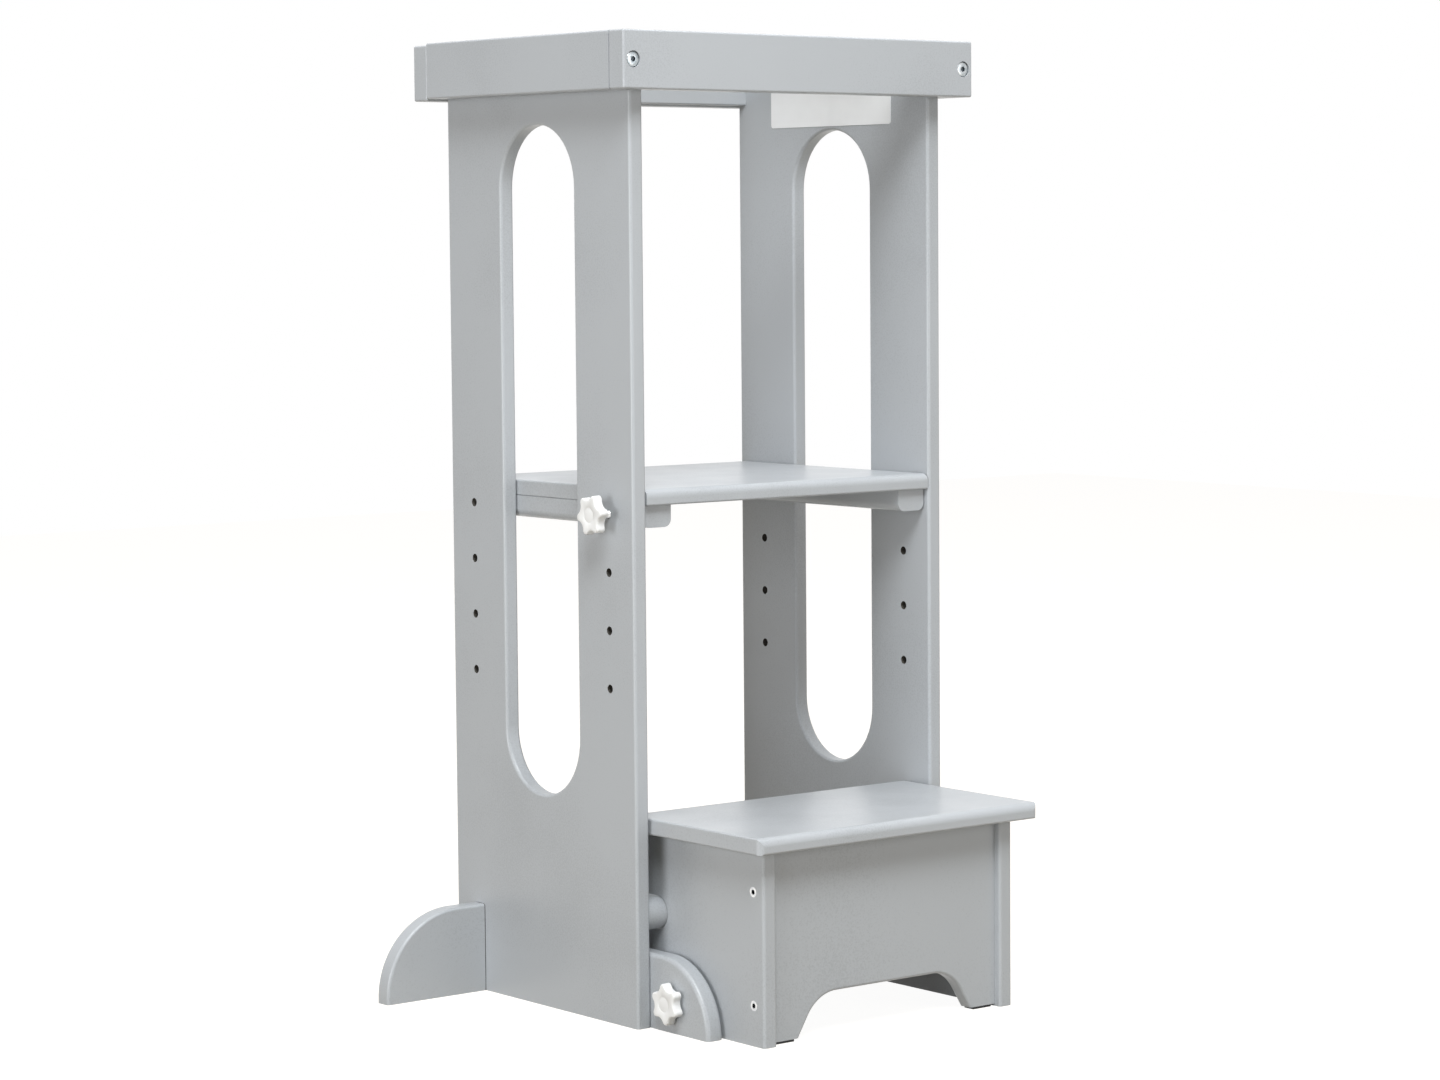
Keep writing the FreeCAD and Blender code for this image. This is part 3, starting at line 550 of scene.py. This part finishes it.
# ---------------------------------------------------------------- rail bolts
def rail_bolts(node, way):
    """Domed bolts with a key socket at both ends of a rail; the heads face the given way along Y."""
    low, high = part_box(node)
    face_y = low.y if way < 0 else high.y
    head_radius = BOLT_HEAD[0][0] * MM
    profile = [(radius * MM, height * MM) for radius, height in BOLT_SHANK + BOLT_HEAD]
    socket = hexagon(BOLT_KEY)
    profile += [(socket, -BOLT_KEY_LIP), (socket, -BOLT_KEY_DEPTH)]
    both = bmesh.new()
    for centre_x in (low.x + head_radius, high.x - head_radius):
        form = turned(profile)
        place_form(form, (0, way, 0), Vector((centre_x, face_y, (low.z + high.z) / 2)), BOLT_TURN)
        spare = bpy.data.meshes.new("spare")
        form.to_mesh(spare)
        form.free()
        both.from_mesh(spare)
        bpy.data.meshes.remove(spare)
    finish_piece(node + "_domed", both, "zinc_steel", "tower", [node], 30.0)


# ---------------------------------------------------------------- sticker
def sticker():
    """Blank film with rounded corners on the right panel's inner face."""
    low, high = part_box("blank_label")
    form = bmesh.new()
    size = high - low
    centre = (low + high) / 2
    corners = bmesh.ops.create_grid(form, x_segments=1, y_segments=1, size=0.5)["verts"]
    bmesh.ops.scale(form, vec=(size.y, size.z, 1), verts=corners)
    bmesh.ops.bevel(form, geom=corners, offset=LABEL_CORNER, offset_type="OFFSET", affect="VERTICES",
                    segments=LABEL_CORNER_STEPS, profile=0.5, material=-1)
    bmesh.ops.solidify(form, geom=form.faces[:], thickness=size.x)
    tall = Matrix(((0, 0, 1), (1, 0, 0), (0, 1, 0))).to_4x4()
    bmesh.ops.transform(form, matrix=tall, verts=form.verts)
    reach = sum((corner.co.x for corner in form.verts)) / len(form.verts)
    bmesh.ops.translate(form, vec=centre - Vector((reach, 0, 0)), verts=form.verts)
    finish_piece("blank_sticker", form, "white_film", "tower", ["blank_label"])


# ---------------------------------------------------------------- floor, light and camera
def seen_directly(nodes, links):
    """1 for a camera, mirror or glass ray and 0 for the light that falls on the object."""
    rays = nodes.new("ShaderNodeLightPath").outputs
    seen = sums(nodes, links, "MAXIMUM", rays["Is Camera Ray"], rays["Is Transmission Ray"])
    return sums(nodes, links, "MAXIMUM", seen, rays["Is Glossy Ray"])


def white_floor():
    """Pale floor that reads as white to the camera and still takes the object's shadow."""
    form = bmesh.new()
    bmesh.ops.create_grid(form, x_segments=1, y_segments=1, size=FLOOR_HALF)
    mesh = bpy.data.meshes.new("studio_floor")
    form.to_mesh(mesh)
    form.free()
    finish, nodes, links, shader = blank_finish("studio_floor")
    shader.inputs["Base Color"].default_value = (*FLOOR_COLOUR, 1)
    shader.inputs["Roughness"].default_value = 0.9
    shader.inputs["Specular IOR Level"].default_value = 0.0
    shader.inputs["Emission Color"].default_value = (1, 1, 1, 1)
    glow = sums(nodes, links, "MULTIPLY", seen_directly(nodes, links), FLOOR_GLOW)
    links.new(glow, shader.inputs["Emission Strength"])
    mesh.materials.append(finish)
    floor = bpy.data.objects.new("studio_floor", mesh)
    bpy.context.scene.collection.objects.link(floor)


def bright_world():
    """White surroundings: plain white where the camera or a reflection sees them, softer as light."""
    world = bpy.data.worlds.new("studio")
    bpy.context.scene.world = world
    world.use_nodes = True
    nodes, links = world.node_tree.nodes, world.node_tree.links
    seen = seen_directly(nodes, links)
    level = nodes.new("ShaderNodeMapRange")
    level.inputs["To Min"].default_value = WORLD_LIGHT
    level.inputs["To Max"].default_value = 1.0
    links.new(seen, level.inputs["Value"])
    tint = nodes.new("ShaderNodeValToRGB")
    tint.color_ramp.elements[0].color = (*WORLD_COLOUR, 1)
    tint.color_ramp.elements[1].color = (1, 1, 1, 1)
    links.new(seen, tint.inputs["Fac"])
    background = nodes["Background"]
    links.new(tint.outputs["Color"], background.inputs["Color"])
    links.new(level.outputs["Result"], background.inputs["Strength"])


def softboxes():
    """Square lamps, each turned to its aim."""
    for name, place, aim, width, watts, colour in LAMPS:
        lamp = bpy.data.lights.new(name, "AREA")
        lamp.size = width
        lamp.energy = watts
        lamp.color = colour
        holder = bpy.data.objects.new(name, lamp)
        holder.location = place
        holder.rotation_euler = (Vector(aim) - Vector(place)).to_track_quat("-Z", "Y").to_euler()
        bpy.context.scene.collection.objects.link(holder)


def photo_camera():
    """Camera at the photograph's place, solved from the object's edges and holes."""
    lens = bpy.data.cameras.new("photo_camera")
    lens.sensor_width = CAMERA_SENSOR
    lens.lens = CAMERA_LENS
    lens.shift_x = CAMERA_SHIFT
    lens.clip_end = CAMERA_REACH
    camera = bpy.data.objects.new("photo_camera", lens)
    heading, dip, roll = (math.radians(angle) for angle in (CAMERA_HEADING, CAMERA_DIP, CAMERA_ROLL))
    look = Matrix.Rotation(-heading, 3, "Z") @ Matrix.Rotation(math.pi / 2 - dip, 3, "X")
    camera.rotation_euler = (look @ Matrix.Rotation(roll, 3, "Z")).to_euler()
    camera.location = CAMERA_PLACE
    bpy.context.scene.collection.objects.link(camera)
    bpy.context.scene.camera = camera


dress_cad_pieces()
all_knobs()
rail_bolts("front_rail_bolts", -1)
rail_bolts("rear_rail_bolts", 1)
sticker()
white_floor()
bright_world()
softboxes()
photo_camera()
bpy.context.scene.view_settings.view_transform = "Standard"
